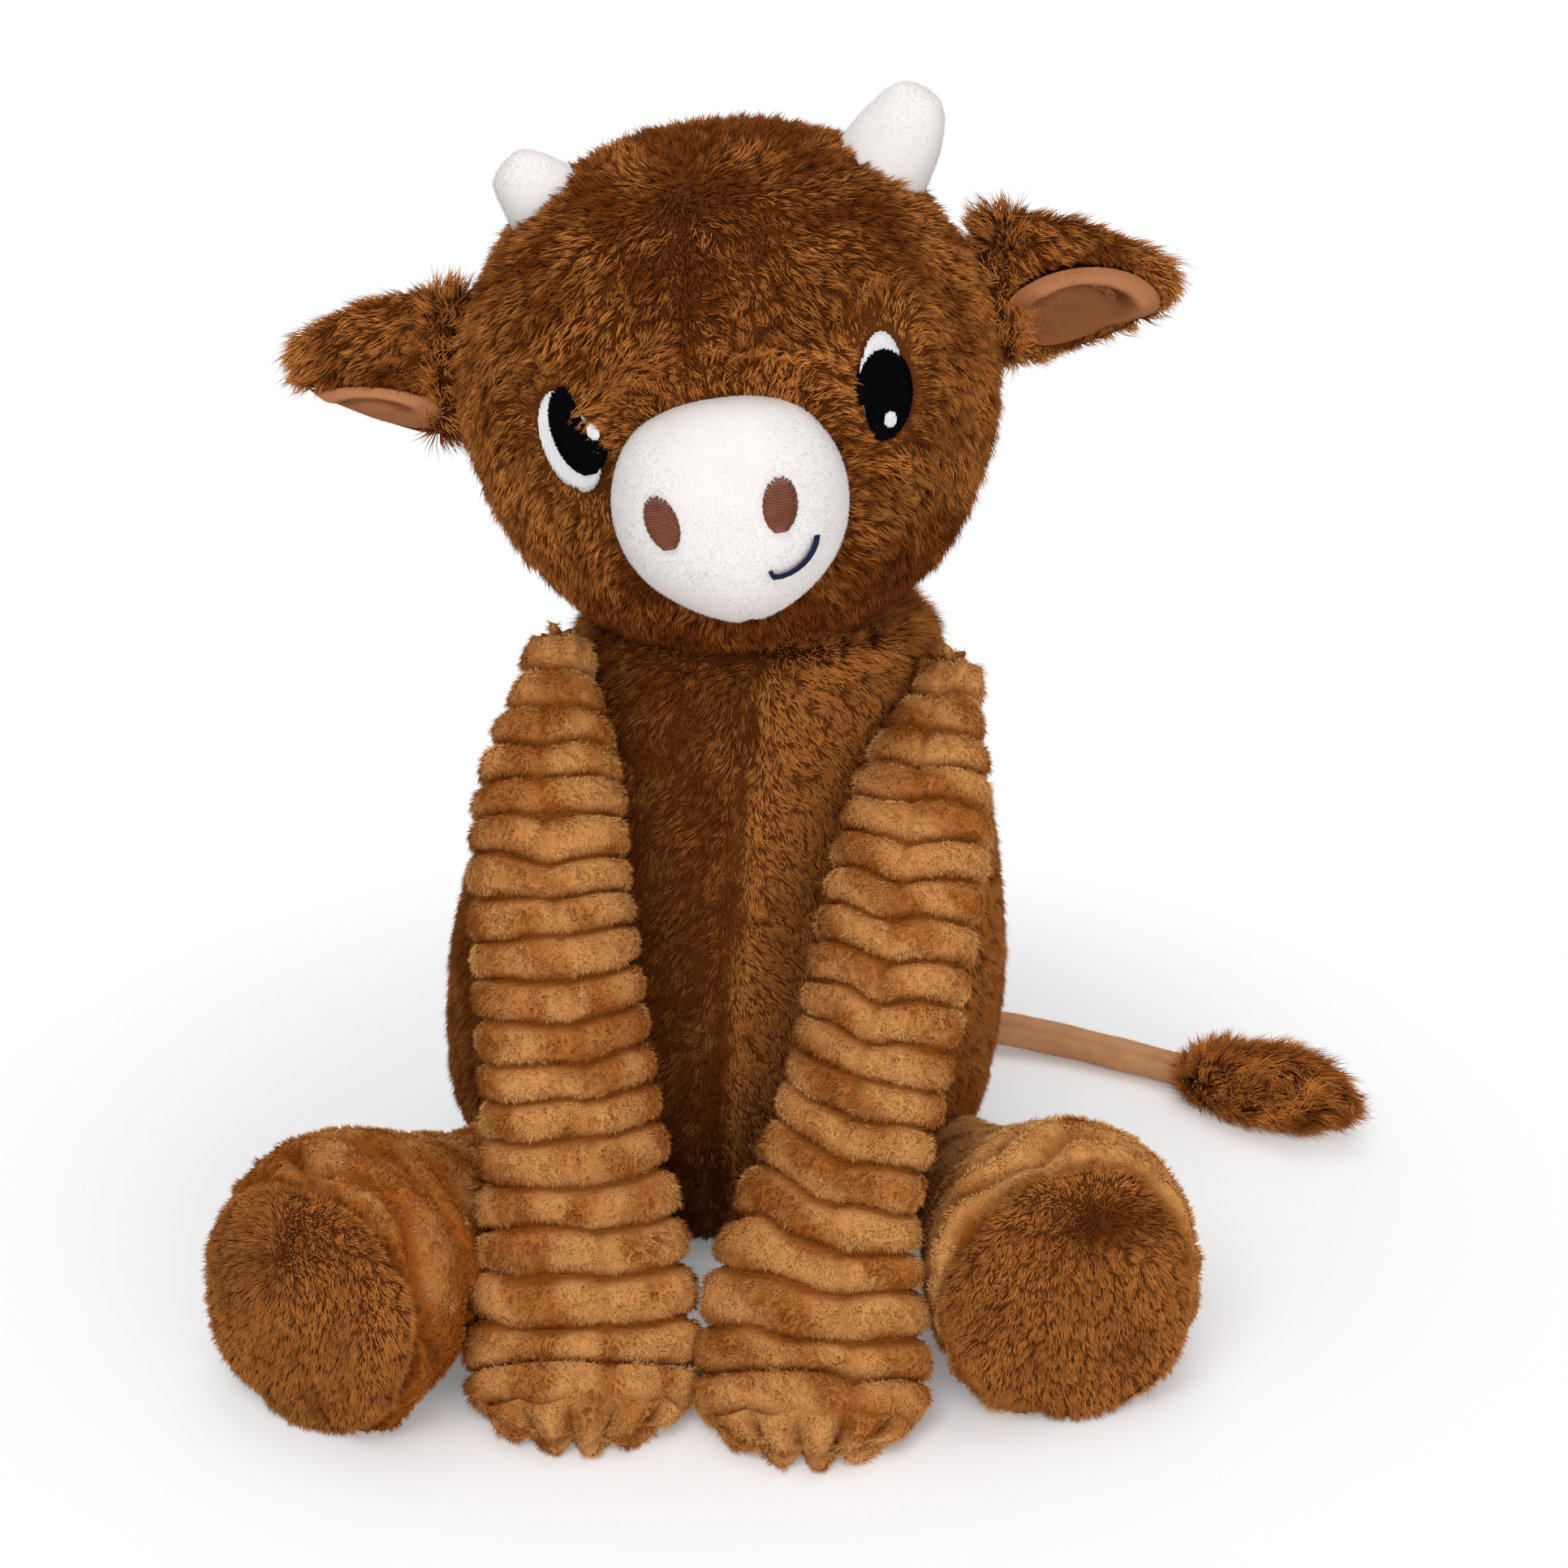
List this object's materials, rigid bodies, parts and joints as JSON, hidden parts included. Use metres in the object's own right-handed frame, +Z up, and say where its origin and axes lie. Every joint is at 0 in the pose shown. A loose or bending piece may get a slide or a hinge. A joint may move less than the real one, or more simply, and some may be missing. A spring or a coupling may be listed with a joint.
{
  "type": "plush cow",
  "caption": "Sitting plush cow with brown fur, white snout and horns, long ribbed arms, fur soles and a tufted tail.",
  "frame": {"origin": "on the floor, in the flat seat under the body, between the hips", "axes": "+Z up, the toy faces -Y, the toy's own left is +X"},
  "size_m": [0.3316, 0.2485, 0.3328],
  "materials": {
    "brown_fur": "long-pile plush",
    "ribbed_plush": "short-pile plush",
    "white_plush": "short-pile plush",
    "tan_plush": "short-pile plush",
    "nostril_thread": "satin stitch",
    "navy_thread": "satin stitch",
    "black_thread": "satin stitch",
    "white_thread": "satin stitch",
    "fibre_filling": "loose fibre",
    "pellet_cloth": "plain cloth"
  },
  "bodies": {
    "torso": {"body_skin": "brown_fur", "body_filling": "fibre_filling", "pellet_bag": "pellet_cloth"},
    "head": {"head_skin": "brown_fur", "head_filling": "fibre_filling", "muzzle": "white_plush", "nostril_left": "nostril_thread", "nostril_right": "nostril_thread", "smile": "navy_thread", "eye_white_left": "white_thread", "eye_white_right": "white_thread", "pupil_left": "black_thread", "pupil_right": "black_thread", "highlight_left": "white_thread", "highlight_right": "white_thread", "horn_left": "white_plush", "horn_right": "white_plush"},
    "ear_left": {"ear_left": "brown_fur", "ear_lining_left": "tan_plush"},
    "ear_right": {"ear_right": "brown_fur", "ear_lining_right": "tan_plush"},
    "arm_left": {"arm_skin_left": "ribbed_plush", "arm_filling_left": "fibre_filling"},
    "arm_right": {"arm_skin_right": "ribbed_plush", "arm_filling_right": "fibre_filling"},
    "leg_left": {"leg_skin_left": "ribbed_plush", "leg_filling_left": "fibre_filling", "sole_left": "brown_fur"},
    "leg_right": {"leg_skin_right": "ribbed_plush", "leg_filling_right": "fibre_filling", "sole_right": "brown_fur"},
    "tail": {"tail_tube": "tan_plush", "tail_tuft": "brown_fur"}
  },
  "joints": [
    {"name": "neck_turn", "type": "hinge", "parent": "torso", "child": "head", "pos_m": [0.004, 0, 0.184], "axis": [0, 0, 1], "range_deg": [-30, 30], "stiffness_Nm_per_rad": 0.25},
    {"name": "ear_fold_left", "type": "hinge", "parent": "head", "child": "ear_left", "pos_m": [0.07226, -0.0095, 0.2774], "axis": [0, 0.0242, 0.9997], "range_deg": [-25, 25], "stiffness_Nm_per_rad": 0.02},
    {"name": "ear_fold_right", "type": "hinge", "parent": "head", "child": "ear_right", "pos_m": [-0.07553, -0.0095, 0.25638], "axis": [0, -0.0242, 0.9997], "range_deg": [-25, 25], "stiffness_Nm_per_rad": 0.02},
    {"name": "shoulder_left", "type": "hinge", "parent": "torso", "child": "arm_left", "pos_m": [0.062, -0.02198, 0.17406], "axis": [-0.9659, -0.2588, 0], "range_deg": [0, 55]},
    {"name": "shoulder_right", "type": "hinge", "parent": "torso", "child": "arm_right", "pos_m": [-0.04704, -0.02198, 0.18106], "axis": [-0.9659, 0.2588, 0], "range_deg": [0, 55]},
    {"name": "hip_left", "type": "hinge", "parent": "torso", "child": "leg_left", "pos_m": [0.055, -0.032, 0.046], "axis": [-0.9816, 0, 0.1908], "range_deg": [0, 35]},
    {"name": "hip_right", "type": "hinge", "parent": "torso", "child": "leg_right", "pos_m": [-0.059, -0.032, 0.046], "axis": [-0.9816, 0, -0.1908], "range_deg": [0, 35]},
    {"name": "tail_swing", "type": "hinge", "parent": "torso", "child": "tail", "pos_m": [0.024, 0.05597, 0.01601], "axis": [0, 0, 1], "range_deg": [-8, 85]}
  ]
}
